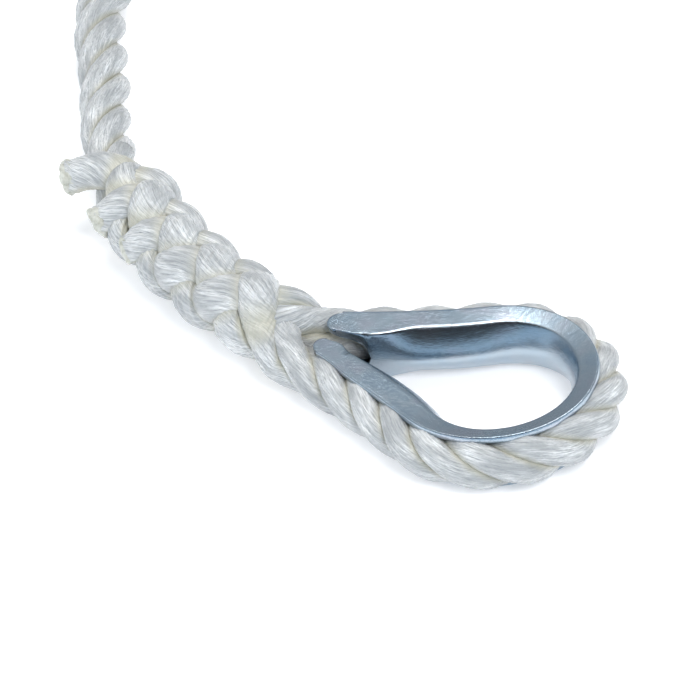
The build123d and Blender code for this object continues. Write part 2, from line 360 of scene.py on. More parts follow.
def guideMesh(name, strands):
    # one chain of points for each strand, with what layYarns reads from them
    points, edges = [], []
    for strand in strands:
        first = len(points)
        points += strand
        edges += [(first + k, first + k + 1) for k in range(len(strand) - 1)]
    mesh = bpy.data.meshes.new(name)
    mesh.from_pydata([p["centre"] * mm for p in points], edges, [])
    outward = mesh.attributes.new("outward", "FLOAT_VECTOR", "POINT")
    outward.data.foreach_set("vector", [c for p in points for c in p["outward"]])
    for label, size in (("wide", mm), ("thick", mm), ("twist", 1), ("along", 1), ("sunk", 1)):
        layer = mesh.attributes.new(label, "FLOAT", "POINT")
        layer.data.foreach_set("value", [p[label] * size for p in points])
    return mesh


def grow(name, mesh, tree, values):
    # run a tree on a mesh and keep the result as a plain mesh
    obj = addObject(name, mesh)
    modifier = obj.modifiers.new(tree.name, "NODES")
    modifier.node_group = tree
    sockets = {s.name: s.identifier for s in tree.interface.items_tree if s.in_out == "INPUT"}
    for label, value in values.items():
        modifier[sockets[label]] = value
    obj.data = bpy.data.meshes.new_from_object(obj.evaluated_get(bpy.context.evaluated_depsgraph_get()))
    obj.modifiers.clear()
    obj.data.name = name
    return obj


def finishPiece(obj, slotName, *nodes):
    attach(obj, "root")
    if nodes:
        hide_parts(*nodes)
    print(obj.name, "triangles", sum(len(p.vertices) - 2 for p in obj.data.polygons))


# ---- materials
def makeMaterial(name):
    material = bpy.data.materials.new(name)
    material.use_nodes = True
    tree = material.node_tree
    tree.nodes.clear()
    shader = addNode(tree, "ShaderNodeBsdfPrincipled")
    addNode(tree, "ShaderNodeOutputMaterial", {"Surface": shader.outputs[0]})
    return material, tree, shader


ropeFinish = {
    "white": "#E2E3E2",
    "shade": "#8D9092",
    # painted shade: the creamy colour of the hollows between strands
    "creamShade": "#BDB89F",
    "roughness": 0.36,
    "filament": 2.6,      # filaments are 0.03 mm, drawn about ten times as coarse so that they show
    "drawn": (4.6, 4.6, 0.12),
    # painted glints: the range of the bright filament lines, partly filament tone
    "glintLineRange": (0.36, 0.60),
    "patch": 1.1,
    "patchDrawn": (1.0, 1.0, 0.12),
    "patchRange": (0.35, 0.68, 0.25),
    "hollowShade": (0.55, -0.25, 0.6),   # painted shade: where a strand's side turns creamy, and how far
    "divingShade": (0.18, 0.62, 0.5),    # the same painted shade where it dives under another
    "ridge": 0.6,
    "relief": 0.00027,
    "reliefShare": 0.75,
    "sheen": (0.25, 0.4),
    "glow": 0.18,
    "glowDepth": (0.0016, 0.0013, 0.0009),
}
polyamideIor = 1.53


def inMillimetres(tree):
    # object coordinates come in metres
    place = addNode(tree, "ShaderNodeTexCoord")
    scaled = addNode(tree, "ShaderNodeMapping", {"Vector": place.outputs["Object"],
                     "Scale": (1 / mm, 1 / mm, 1 / mm)})
    return scaled.outputs[0]


def glowThrough(shader, share, depth):
    # light goes a little way into polyamide
    shader.inputs["IOR"].default_value = polyamideIor
    shader.inputs["Subsurface Weight"].default_value = share
    shader.inputs["Subsurface Radius"].default_value = depth
    shader.inputs["Subsurface Scale"].default_value = 1.0


def twistedPolyamide():
    # continuous polyamide filament, twisted: white, silky, with fine bright lines along each yarn that are
    # partly filament tone and partly painted glints, and painted creamy shade between strands
    material, tree, shader = makeMaterial("twistedPolyamideFilament")
    read = {label: addNode(tree, "ShaderNodeAttribute", attribute_name=label)
            for label in ("fibre", "facing", "crest", "sunk")}
    drawn = addNode(tree, "ShaderNodeMapping", {"Vector": read["fibre"].outputs["Vector"],
                    "Scale": ropeFinish["drawn"]})
    lines = addNode(tree, "ShaderNodeTexNoise", {"Vector": drawn.outputs[0], "Scale": ropeFinish["filament"],
                    "Detail": 4.0, "Roughness": 0.7})
    patchMap = addNode(tree, "ShaderNodeMapping", {"Vector": read["fibre"].outputs["Vector"],
                       "Scale": ropeFinish["patchDrawn"]})
    patches = addNode(tree, "ShaderNodeTexNoise", {"Vector": patchMap.outputs[0],
                      "Scale": ropeFinish["patch"],
                      "Detail": 2.0})
    first, last = ropeFinish["glintLineRange"]
    glintLineShare = addNode(tree, "ShaderNodeMapRange", {"Value": lines.outputs[0], "From Min": first,
                        "From Max": last})
    first, last, least = ropeFinish["patchRange"]
    patchShare = addNode(tree, "ShaderNodeMapRange", {"Value": patches.outputs[0], "From Min": first,
                         "From Max": last, "To Min": least})
    # painted glints: the bright lines along the yarns, partly filament tone, lift the colour from the shade
    # tone to white
    glintAndTone = addNode(tree, "ShaderNodeMath", {0: glintLineShare.outputs[0], 1: patchShare.outputs[0]},
                     operation="MULTIPLY")
    body = addNode(tree, "ShaderNodeMix", {0: glintAndTone.outputs[0], 6: colour(ropeFinish["shade"]),
                   7: colour(ropeFinish["white"])}, data_type="RGBA")
    # painted shade: a creamy colour painted where strands face inwards and dive under others, for light
    # through the rope
    creamShades = []
    for label, setting in (("facing", "hollowShade"), ("sunk", "divingShade")):
        first, last, most = ropeFinish[setting]
        creamShade = addNode(tree, "ShaderNodeMapRange", {"Value": read[label].outputs["Fac"], "From Min": first,
                        "From Max": last, "To Max": most}, interpolation_type="SMOOTHSTEP")
        creamShades.append(creamShade.outputs[0])
    paintedShadeShare = addNode(tree, "ShaderNodeMath", {0: creamShades[0], 1: creamShades[1]}, operation="MAXIMUM")
    creamShaded = addNode(tree, "ShaderNodeMix", {0: paintedShadeShare.outputs[0], 6: body.outputs[2],
                     7: colour(ropeFinish["creamShade"])}, data_type="RGBA")
    ridge = addNode(tree, "ShaderNodeMath", {0: read["crest"].outputs["Fac"], 1: ropeFinish["ridge"]},
                    operation="MULTIPLY")
    height = addNode(tree, "ShaderNodeMath", {0: lines.outputs[0], 1: ridge.outputs[0]}, operation="ADD")
    bump = addNode(tree, "ShaderNodeBump", {"Height": height.outputs[0],
                   "Strength": ropeFinish["reliefShare"],
                   "Distance": ropeFinish["relief"]})
    tree.links.new(creamShaded.outputs[2], shader.inputs["Base Color"])
    tree.links.new(bump.outputs[0], shader.inputs["Normal"])
    shader.inputs["Roughness"].default_value = ropeFinish["roughness"]
    shader.inputs["Sheen Weight"].default_value = ropeFinish["sheen"][0]
    shader.inputs["Sheen Roughness"].default_value = ropeFinish["sheen"][1]
    glowThrough(shader, ropeFinish["glow"], ropeFinish["glowDepth"])
    return material


meltFinish = {
    "tones": ((0.32, "#939285"), (0.48, "#B3B3A9"), (0.66, "#C6C6BE")),
    "grain": 0.8,
    "relief": 0.0004,
    "reliefShare": 0.6,
    "roughness": 0.38,
    "glow": 0.15,
    "glowDepth": (0.0015, 0.0012, 0.0008),
}


def toneRamp(tree, value, tones):
    ramp = addNode(tree, "ShaderNodeValToRGB", {0: value})
    stops = ramp.color_ramp.elements
    (stops[0].position, first), *others, (stops[1].position, last) = tones
    stops[0].color, stops[1].color = colour(first), colour(last)
    for place, code in others:
        stops.new(place).color = colour(code)
    return ramp


def meltedPolyamide():
    # strand ends sealed by a flame: greyish cream, lumpy and slightly glossy
    material, tree, shader = makeMaterial("meltedPolyamide")
    place = inMillimetres(tree)
    lumps = addNode(tree, "ShaderNodeTexNoise", {"Vector": place, "Scale": meltFinish["grain"],
                    "Detail": 4.0, "Roughness": 0.6})
    ramp = toneRamp(tree, lumps.outputs[0], meltFinish["tones"])
    bump = addNode(tree, "ShaderNodeBump", {"Height": lumps.outputs[0], "Strength": meltFinish["reliefShare"],
                   "Distance": meltFinish["relief"]})
    tree.links.new(ramp.outputs[0], shader.inputs["Base Color"])
    tree.links.new(bump.outputs[0], shader.inputs["Normal"])
    shader.inputs["Roughness"].default_value = meltFinish["roughness"]
    glowThrough(shader, meltFinish["glow"], meltFinish["glowDepth"])
    return material


zincFinish = {
    "tones": ((0.36, "#A4B4C1"), (0.5, "#AAB7C1"), (0.66, "#AEB6C1")),
    "speck": "#8793A0",
    "speckRange": (0.52, 0.74, 0.5),
    "grain": 3.2,         # one grain of the plating is about 0.3 mm
    "clouds": 0.13,
    "pits": 0.9,
    "relief": 0.0001,
    "reliefShare": 0.55,
    "dull": (0.3, 0.7, 0.16, 0.27),
}


def brightZinc():
    # bright zinc plated on pressed steel: a fine-grained mirror with blue and lilac tints
    material, tree, shader = makeMaterial("brightZincPlate")
    place = inMillimetres(tree)
    grain = addNode(tree, "ShaderNodeTexNoise", {"Vector": place, "Scale": zincFinish["grain"],
                    "Detail": 3.0, "Roughness": 0.55})
    clouds = addNode(tree, "ShaderNodeTexNoise", {"Vector": place, "Scale": zincFinish["clouds"],
                     "Detail": 2.0})
    ramp = toneRamp(tree, clouds.outputs[0], zincFinish["tones"])
    first, last, most = zincFinish["speckRange"]
    speck = addNode(tree, "ShaderNodeMapRange", {"Value": grain.outputs[0], "From Min": first,
                    "From Max": last,
                    "To Max": most})
    tint = addNode(tree, "ShaderNodeMix", {0: speck.outputs[0], 6: ramp.outputs[0],
                   7: colour(zincFinish["speck"])}, data_type="RGBA")
    pits = addNode(tree, "ShaderNodeTexNoise", {"Vector": place, "Scale": zincFinish["pits"],
                   "Detail": 2.0})
    height = addNode(tree, "ShaderNodeMath", {0: grain.outputs[0], 1: pits.outputs[0]}, operation="ADD")
    bump = addNode(tree, "ShaderNodeBump", {"Height": height.outputs[0],
                   "Strength": zincFinish["reliefShare"],
                   "Distance": zincFinish["relief"]})
    first, last, least, most = zincFinish["dull"]
    dull = addNode(tree, "ShaderNodeMapRange", {"Value": grain.outputs[0], "From Min": first,
                   "From Max": last,
                   "To Min": least, "To Max": most})
    tree.links.new(tint.outputs[2], shader.inputs["Base Color"])
    tree.links.new(dull.outputs[0], shader.inputs["Roughness"])
    tree.links.new(bump.outputs[0], shader.inputs["Normal"])
    shader.inputs["Metallic"].default_value = 1.0
    return material


twineFinish = {"light": "#DAD6C8", "dark": "#A9A491", "fluff": 2.4, "relief": 0.0002,
              "reliefShare": 0.5, "roughness": 0.5}


def waxedTwine():
    # waxed whipping twine: off-white and a little uneven
    material, tree, shader = makeMaterial("waxedTwine")
    place = inMillimetres(tree)
    fluff = addNode(tree, "ShaderNodeTexNoise", {"Vector": place, "Scale": twineFinish["fluff"],
                    "Detail": 3.0})
    tint = addNode(tree, "ShaderNodeMix", {0: fluff.outputs[0], 6: colour(twineFinish["dark"]),
                   7: colour(twineFinish["light"])}, data_type="RGBA")
    bump = addNode(tree, "ShaderNodeBump", {"Height": fluff.outputs[0],
                   "Strength": twineFinish["reliefShare"],
                   "Distance": twineFinish["relief"]})
    tree.links.new(tint.outputs[2], shader.inputs["Base Color"])
    tree.links.new(bump.outputs[0], shader.inputs["Normal"])
    shader.inputs["Roughness"].default_value = twineFinish["roughness"]
    return material


ropeMaterial = twistedPolyamide()
meltMaterial = meltedPolyamide()
zincMaterial = brightZinc()
twineMaterial = waxedTwine()
print("materials made")

# ---- where the rope lies in the thimble's groove
groove = {
    "legAngle": 26.9,         # degrees, each leg's slope where it leaves the crown
    "legLength": 38.0,
    "legBow": 280.0,
    "legBlend": (0.55, 0.3),
    "legSeat": -0.1,          # the rope is pulled further in along the legs
    "legSquash": 0.93,        # and pressed between the flanges
    "yarnTurn": 30.0,
}
crownTurn = math.radians(90 + groove["legAngle"])
crownHalfLength = crownRadius * crownTurn
rimHalfLength = crownHalfLength + groove["legLength"]


def legShare(s):
    first = groove["legBlend"][0] * crownHalfLength
    last = crownHalfLength + groove["legBlend"][1] * groove["legLength"]
    return smooth((abs(s) - first) / (last - first))


def seatStation(s):
    # centre of the rope, s mm round the rim from the crown's middle towards +Y, and its side
    run = abs(s)
    if run <= crownHalfLength:
        turned = run / crownRadius
        x, y = crownRadius * math.cos(turned), crownRadius * math.sin(turned)
        heading = turned + math.pi / 2
    else:
        first = crownTurn + math.pi / 2
        heading = first - (run - crownHalfLength) / groove["legBow"]
        x = crownRadius * math.cos(crownTurn) - groove["legBow"] * (math.sin(heading) - math.sin(first))
        y = crownRadius * math.sin(crownTurn) + groove["legBow"] * (math.cos(heading) - math.cos(first))
    side = Vector((math.sin(heading), -math.cos(heading), 0))
    centre = Vector((x, y, 0)) + side * groove["legSeat"] * legShare(s)
    if s < 0:
        centre.y, side.y = -centre.y, -side.y
    return centre, side


# ---- how the strands lie in the splice
weave = {
    "lay": 45.0,
    "middle": 5.95,           # strand centres from the splice's axis, half way between over and under
    "swing": 1.65,
    "wide": 4.75,             # half width of a strand that is spread in the splice
    "thick": 2.95,
    "round": 3.0,             # half width in the plain rope
    "orbit": 3.05,
    "lastTuck": 84.0,         # where the last tucked strand passes over for the last time
    "tuckSide": 141.0,        # degrees from +Y over the top
    "standingYarn": -0.32,    # radians in each mm that the yarns turn round their strand
    "tuckedYarn": 0.2,
    "yarns": 15,
    "ridge": 0.30,
    "around": 75,
    "step": 1.1,
    "tailRun": 4.0,
    "tailLead": (2.8, 4.6, 5.6, 6.0),
    "tailReach": ((0.6, 2.4, 4.4, 6.2), (0.6, 1.8, 3.2, 4.6), (0.4, 1.4, 2.4, 3.2)),
    "tailBack": (0.0, 3.6, 1.2),      # mm towards the thimble
    "tailDrop": (0.4, 3.8, 3.0),      # mm down at the tip
    "tailHalf": ((3.9, 3.7), (3.8, 3.5), (3.4, 1.7)),   # half widths of the three ends
    "throatGap": 4.0,
    "axial": 0.85,            # mm of rope to each mm of its slanting strands
    "keySpacing": 2.5,
    "search": 0.1,            # fineness of the search for where a tail leaves
    "tailSwell": 3.0,         # a tail has its full size once it stands this far out
    "unevenness": 0.5,
    "turnSteps": 4,           # steps in each mm when the turns are added up
}
lieEnd = spliceLine["fade"][0]


def localLay(u):
    opened = merged(u) * (1 - smooth((u - lieEnd) / (spliceEnd - lieEnd)))
    return mix(freeRope["lay"], weave["lay"], opened)


turnTable = [0.0]
turnSteps = weave["turnSteps"]
for k in range(int(spliceEnd + 10) * turnSteps):
    turnTable.append(turnTable[-1] + 1 / turnSteps / localLay((k + 0.5) / turnSteps))


def turned(u):
    # turns made about the splice's axis from the throat to u
    k = min(len(turnTable) - 2, max(0, int(u * turnSteps)))
    return turnTable[k] + (turnTable[k + 1] - turnTable[k]) * (u * turnSteps - k)


tuckedPhase = math.radians(weave["tuckSide"]) - fullTurn * turned(weave["lastTuck"])
standingPhase = math.radians(weave["tuckSide"]) + fullTurn * turned(weave["lastTuck"])
wantedTurns = 2 * rimHalfLength / freeRope["lay"]
spareTurns = (math.pi - standingPhase - tuckedPhase) / fullTurn
eyeTurns = spareTurns + round((wantedTurns - spareTurns) * 1.5) / 1.5


def tuckedAngle(u, number):
    return tuckedPhase + fullTurn * (turned(u) + number / 3)


def eyeAngle(s, number):
    return tuckedAngle(0, number) + fullTurn * eyeTurns * (rimHalfLength - s) / (2 * rimHalfLength)


def standingAngle(u, number):
    return math.pi - eyeAngle(-rimHalfLength, number) - fullTurn * turned(u)


def swing(u):
    # +1 where the tucked strands pass over the standing ones, -1 where they pass under
    return math.cos(1.5 * (standingAngle(u, 0) - tuckedAngle(u, 0)))


def key(centre, side, orbit, angle, wide, thick, rate, squash=1.0, sunk=0.0):
    outward = side * math.cos(angle) + Vector((0, 0, math.sin(angle)))
    place = centre + outward * orbit
    place.z = centre.z + (place.z - centre.z) * squash
    return {"centre": place, "outward": outward, "wide": wide, "thick": thick, "rate": rate, "sunk": sunk}


def legCentre(u, direction):
    centre, side = spliceStation(u)
    return centre + side * direction * spliceLine["legGap"] * (1 - merged(u)), side


def standingKey(u, number):
    centre, side = legCentre(u, -1)
    spread = merged(u) * (1 - faded(u))
    woven = weave["middle"] - weave["swing"] * swing(u)
    orbit = mix(weave["orbit"], woven, spread)
    wide = mix(weave["round"], weave["wide"], spread)
    thick = mix(weave["round"], weave["thick"], spread)
    rate = mix(-fullTurn / freeRope["yarnTurn"], weave["standingYarn"], spread)
    sunk = spread * (1 + swing(u)) / 2
    return key(centre, side, orbit, standingAngle(u, number), wide, thick, rate, sunk=sunk)


def tuckedKey(u, number, reach=0.0, half=None):
    centre, side = legCentre(u, 1)
    woven = weave["middle"] + weave["swing"] * swing(u)
    orbit = mix(weave["orbit"], woven, merged(u)) + reach
    wide = mix(weave["round"], weave["wide"], merged(u)) if half is None else half
    thick = mix(weave["round"], weave["thick"], merged(u)) if half is None else half
    rate = mix(-fullTurn / freeRope["yarnTurn"], weave["tuckedYarn"], merged(u))
    sunk = merged(u) * (1 - swing(u)) / 2 if half is None else 0.0
    return key(centre, side, orbit, tuckedAngle(u, number), wide, thick, rate, sunk=sunk)


def eyeKey(s, number):
    centre, side = seatStation(s)
    squash = mix(1.0, groove["legSquash"], legShare(s))
    half = weave["round"]
    return key(centre, side, weave["orbit"], eyeAngle(s, number), half, half,
               -fullTurn / groove["yarnTurn"], squash)


def spaced(first, last, step):
    count = round(abs(last - first) / step)
    return [mix(first, last, k / count) for k in range(count + 1)]


def fillGuide(keys, step):
    # a smooth line through the keys, its points a step apart
    reached = [0.0]
    for a, b in zip(keys, keys[1:]):
        reached.append(reached[-1] + (b["centre"] - a["centre"]).length)
    slopes = []
    for k in range(len(keys)):
        a, b = max(0, k - 1), min(len(keys) - 1, k + 1)
        slopes.append((keys[b]["centre"] - keys[a]["centre"]) / (reached[b] - reached[a]))
    guide, along, twist = [], 0.0, 0.0
    for k in range(len(keys) - 1):
        run = reached[k + 1] - reached[k]
        count = max(1, round(run / step))
        for j in range(count + (k == len(keys) - 2)):  # the last run keeps its end point
            t = j / count
            a, b = keys[k], keys[k + 1]
            place = a["centre"] * (2 * t ** 3 - 3 * t ** 2 + 1) + slopes[k] * run * (t ** 3 - 2 * t ** 2 + t)
            place += b["centre"] * (3 * t ** 2 - 2 * t ** 3) + slopes[k + 1] * run * (t ** 3 - t ** 2)
            point = {label: mix(a[label], b[label], t) for label in ("wide", "thick", "rate", "sunk")}
            point["centre"] = place
            point["outward"] = a["outward"].lerp(b["outward"], t).normalized()
            if guide:
                moved = (place - guide[-1]["centre"]).length
                along += moved
                twist += moved * point["rate"] * weave["axial"]
            point["along"], point["twist"] = along, twist
            guide.append(point)
    return guide


def strandKeys(number):
    # the strand's end stands out of the splice, then the strand runs back through it and round the eye
    out = weave["lastTuck"]
    while turned(weave["lastTuck"]) - turned(out) < number / 3:
        out -= weave["search"]
    out -= weave["tailRun"]
    keys = []
    half = weave["tailHalf"][number]
    outSide = spliceStation(out)[1]
    ahead = Vector((-outSide.y, outSide.x, 0))
    for reach, lead in zip(weave["tailReach"][number], weave["tailLead"]):
        swollen = smooth(reach / weave["tailSwell"])
        keys.insert(0, tuckedKey(out + lead, number, reach, mix(weave["wide"], half[0], swollen)))
        keys[0]["thick"] = mix(weave["thick"], half[1], swollen)
        share = lead / weave["tailLead"][-1]
        keys[0]["centre"] -= ahead * weave["tailBack"][number] * share
        keys[0]["centre"].z -= weave["tailDrop"][number] * share
    gap = weave["throatGap"]
    step = weave["keySpacing"]
    keys += [tuckedKey(u, number) for u in spaced(out, gap, step)]
    keys += [eyeKey(s, number) for s in spaced(rimHalfLength - gap, gap - rimHalfLength, step)]
    keys += [standingKey(u, number) for u in spaced(gap, spliceEnd, step)]
    return keys


strandEnds, tailTips = [], []
for number in range(3):
    keys = strandKeys(number)
    guide = fillGuide(keys, weave["step"])
    strandEnds.append(guide[-1]["twist"])
    tailTips.append((guide[0], guide[3]))
    label = str(number + 1)
    strand = grow("strand" + label, guideMesh("guide" + label, [guide]), layYarns,
                  {"Around": weave["around"], "Yarns": weave["yarns"], "Ridge": weave["ridge"] * mm,
                   "Unevenness": weave["unevenness"] * mm, "Rest": restHeight * mm, "Material": ropeMaterial})
    finishPiece(strand, "rope_strand", "eye_strand_" + label, "standing_strand_" + label,
                "tucked_strand_" + label)
print("splice and eye laid")


# ---- the free rope's three strands
def freeStrand(points, number):
    guide, along, twist = [], 0.0, strandEnds[number]
    for k, point in enumerate(points):
        ahead = (points[min(k + 1, len(points) - 1)] - points[max(k - 1, 0)]).normalized()
        side = Vector((ahead.y, -ahead.x, 0)).normalized()
        over = side.cross(ahead)
        if k:
            along += (point - points[k - 1]).length
        angle = standingAngle(spliceEnd, number) - fullTurn * along / freeRope["lay"]
        outward = side * math.cos(angle) + over * math.sin(angle)
        settled = smooth(along / freeRope["settle"])
        half = mix(weave["round"], freeRope["strand"], settled)
        guide.append({"centre": point + outward * mix(weave["orbit"], freeRope["orbit"], settled),
                      "outward": outward, "wide": half, "thick": half, "along": along, "sunk": 0.0,
                      "twist": twist - fullTurn * along / freeRope["yarnTurn"]})
    return guide


ropeSteps = spacedAlong(ropePath, freeRope["step"])
layingStrands = [freeStrand(ropeSteps, number) for number in range(3)]
looseRope = grow("freeRope", guideMesh("ropeGuide", layingStrands), layYarns,
                 {"Around": freeRope["around"], "Yarns": freeRope["yarns"], "Ridge": freeRope["ridge"] * mm,
                  "Unevenness": freeRope["unevenness"] * mm, "Rest": restHeight * mm,
                  "Material": ropeMaterial})
finishPiece(looseRope, "laid_rope", "standing_rope", "rope_coil", "rope_end")
print("free rope laid")

# ---- sealed ends
melt = {
    "rings": 14,
    "around": 28,
    "overlap": 2.2,
    "slim": 0.97,
    "flare": 1.08,
    "rimShare": 0.4,          # share of the rings that lie on the strand, before the rim
    "dome": 1.3,
    "domePower": 0.8,
    "roundPower": 0.55,
    "lump": 0.16,
    "coarse": 0.45,
    "fine": 1.4,
    "fineShare": 0.4,
    "fineSeed": 5,
    "seedStep": 3.7,          # each end has its own lumps
    "tipSeed": 21.0,
}


def sealedEnd(name, tip, along, radius, seed, scale, outward=None):
    # a blob that has run a little down its strand: rings from under the rim over to the middle of the end
    bm = bmesh.new()
    across = along.orthogonal() if outward is None else outward - along * outward.dot(along)
    across.normalize()
    other = along.cross(across)
    rings = []
    for k in range(melt["rings"]):
        share = k / (melt["rings"] - 1)
        if share < melt["rimShare"]:
            forwards = mix(-melt["overlap"], 0, share / melt["rimShare"])
            size = radius * mix(melt["slim"], melt["flare"], smooth(share / melt["rimShare"]))
        else:
            turn = (share - melt["rimShare"]) / (1 - melt["rimShare"]) * math.pi / 2
            forwards = melt["dome"] * math.sin(turn) ** melt["domePower"]
            size = radius * melt["flare"] * math.cos(turn) ** melt["roundPower"] if share < 1 else 0.0
        if size <= 0:
            rings.append([bm.verts.new((tip + along * forwards) * mm)])
            continue
        ring = []
        for j in range(melt["around"]):
            angle = fullTurn * j / melt["around"]
            direction = across * math.cos(angle) * scale + other * math.sin(angle)
            spot = tip + along * forwards + direction * size
            lump = noise.noise(spot * melt["coarse"] + Vector((seed, 0, 0)))
            lump += noise.noise(spot * melt["fine"] + Vector((seed, melt["fineSeed"], 0))) * melt["fineShare"]
            lump *= melt["lump"] * radius
            ring.append(bm.verts.new((spot + direction * lump + along * lump * share) * mm))
        rings.append(ring)
    for low, high in zip(rings, rings[1:]):
        for j in range(len(low)):
            nextOne = (j + 1) % len(low)
            if len(high) == 1:
                bm.faces.new((low[j], low[nextOne], high[0]))
            else:
                bm.faces.new((low[j], low[nextOne], high[nextOne], high[j]))
    bm.faces.new(rings[0][::-1])
    bmesh.ops.recalc_face_normals(bm, faces=bm.faces)
    mesh = bpy.data.meshes.new(name)
    bm.to_mesh(mesh)
    bm.free()
    mesh.shade_smooth()
    mesh.materials.append(meltMaterial)
    return addObject(name, mesh)


for number, (tipPoint, before) in enumerate(tailTips):
    heading = (tipPoint["centre"] - before["centre"]).normalized()
    bead = sealedEnd("sealedEnd" + str(number + 1), tipPoint["centre"], heading, tipPoint["wide"],
                     melt["seedStep"] * number, tipPoint["thick"] / tipPoint["wide"], tipPoint["outward"])
    finishPiece(bead, "sealed_end", "sealed_end_" + str(number + 1))

# ---- whipping at the rope's end
whipping = {
    "length": 16.0,
    "back": 2.0,
    "pitch": 1.1,
    "twine": 0.572,           # half the twine's width
    "radius": 6.15,
    "tip": 6.1,
    "perTurn": 36,
    "around": 10,
}


def buildWindTwine():
    # a close spiral of twine along +Z
    tree = makeTree("windTwine", [("Turns", "Float", 14.0), ("Radius", "Float", 0.006),
                                  ("Length", "Float", 0.015), ("Twine", "Float", 0.0005),
                                  ("Material", "Material", None)])
    start = addNode(tree, "NodeGroupInput").outputs
    wound = addNode(tree, "GeometryNodeCurveSpiral",
                    {"Resolution": whipping["perTurn"], "Rotations": start["Turns"],
                     "Start Radius": start["Radius"], "End Radius": start["Radius"],
                     "Height": start["Length"]})
    ring = addNode(tree, "GeometryNodeCurvePrimitiveCircle",
                   {"Resolution": whipping["around"], "Radius": start["Twine"]})
    skin = addNode(tree, "GeometryNodeCurveToMesh",
                   {"Curve": wound.outputs[0], "Profile Curve": ring.outputs[0], "Fill Caps": True})
    return closeTree(tree, skin.outputs[0], start["Material"])


ropeTip = ropePath[-1]
ropeHeading = (ropePath[-1] - ropePath[-2]).normalized()
winding = grow("whipping", bpy.data.meshes.new("twineGuide"), buildWindTwine(),
               {"Turns": whipping["length"] / whipping["pitch"], "Radius": whipping["radius"] * mm,
                "Length": whipping["length"] * mm, "Twine": whipping["twine"] * mm,
                "Material": twineMaterial})
windingStart = ropeTip - ropeHeading * (whipping["length"] + whipping["back"])
standing = ropeHeading.to_track_quat("Z", "Y").to_matrix().to_4x4()
standing.translation = windingStart * mm
winding.data.transform(standing)
finishPiece(winding, "whipping_twine", "end_whipping")
sealedTip = sealedEnd("sealedTip", ropeTip, ropeHeading, whipping["tip"], melt["tipSeed"], 1.0)
finishPiece(sealedTip, "laid_rope")
print("rope end whipped and sealed")

# ---- thimble: a pressed channel with rounded plate edges, built as one half and its mirror image
channel = {
    "plate": 1.6,
    "crownDepth": 7.0,        # rim to the eye side of the web: at the crown, half way along a leg, at its end
    "legDepth": 11.0,
    "endDepth": 9.0,
    "crownHalf": 7.4,         # half widths over the flanges
    "legHalf": 6.6,
    "crownFlange": 4.6,
    "legFlange": 6.1,
    "crownFlare": 1.2,        # the flanges lean out at the crown
    "legFlare": 0.1,
    "bendPull": 0.12,
    "webPull": 0.42,
    "endBlend": (0.4, 0.5),
    "slotHalf": {1: 1.3, -1: 1.8},   # each side of the slot between the two pairs of flange tongues
    "slotFrom": -25.0,
    "flatten": {1: (-26.0, -42.5), -1: (-37.0, -43.0)},  # the flange widens to a flat tongue
    "notchEnd": -33.8,
    "notchRound": 5.2,
    "notchFlat": 0.5,
    "notchOuter": 5.7,
    "notchInner": 4.1,
    # centre and radius of each tongue's round end
    "nose": {1: (-42.0, 4.7, 3.35), -1: (-42.0, -4.35, 2.55)},
    "trim": 1.1,              # the near tongue is this much narrower
    "trimFrom": (-30.0, -42.0),
    "edge": 0.38,             # how far the plate's edge bulges past its flat
    "edgePower": 0.62,
    "edgeSteps": 6,
    "noseRows": 6,
    "spacing": 0.7,
    "across": 28,
    "slack": 0.05,            # the flat stops this short of the slot
    "least": 0.02,
    "weld": 0.002,
}


def rimStation(s):
    # place on the rim, the direction along it and the direction into the eye
    centre, side = seatStation(s)
    place = centre - side * groove["legSeat"] * legShare(s)
    inward = -side
    ahead = Vector((inward.y, -inward.x, 0)) if s >= 0 else Vector((-inward.y, inward.x, 0))
    return place, ahead, inward


def plateCurve(flange, bend, depth, slope):
    # the flange, then the web's curve to its middle, as distances inwards and up
    pull = channel["bendPull"] * (depth - flange)
    handles = ((flange, bend), (flange + pull, bend - pull * math.tan(slope)),
               (depth, channel["webPull"] * bend), (depth, 0.0))
    curve = []
    for k in range(channel["across"] + 1):
        t = k / channel["across"]
        shares = ((1 - t) ** 3, 3 * t * (1 - t) ** 2, 3 * t ** 2 * (1 - t), t ** 3)
        curve.append(tuple(sum(w * h[axis] for w, h in zip(shares, handles)) for axis in (0, 1)))
    return curve


def cutCurve(curve, floorOf):
    # the part of the curve that the notch leaves
    kept = [curve[0]]
    for here, after in zip(curve, curve[1:]):
        gapHere, gapAfter = here[1] - floorOf(here[0]), after[1] - floorOf(after[0])
        if gapAfter < 0:
            share = gapHere / (gapHere - gapAfter)
            kept.append((mix(here[0], after[0], share), mix(here[1], after[1], share)))
            return kept, True
        kept.append(after)
    return kept, False


def evenly(curve, count):
    lengths = [0.0]
    for here, after in zip(curve, curve[1:]):
        lengths.append(lengths[-1] + math.dist(here, after))
    points, index = [], 0
    for k in range(count + 1):
        wanted = lengths[-1] * k / count
        while index < len(curve) - 2 and lengths[index + 1] < wanted:
            index += 1
        run = lengths[index + 1] - lengths[index]
        share = (wanted - lengths[index]) / run if run else 0.0
        points.append((mix(curve[index][0], curve[index + 1][0], share),
                       mix(curve[index][1], curve[index + 1][1], share)))
    return points


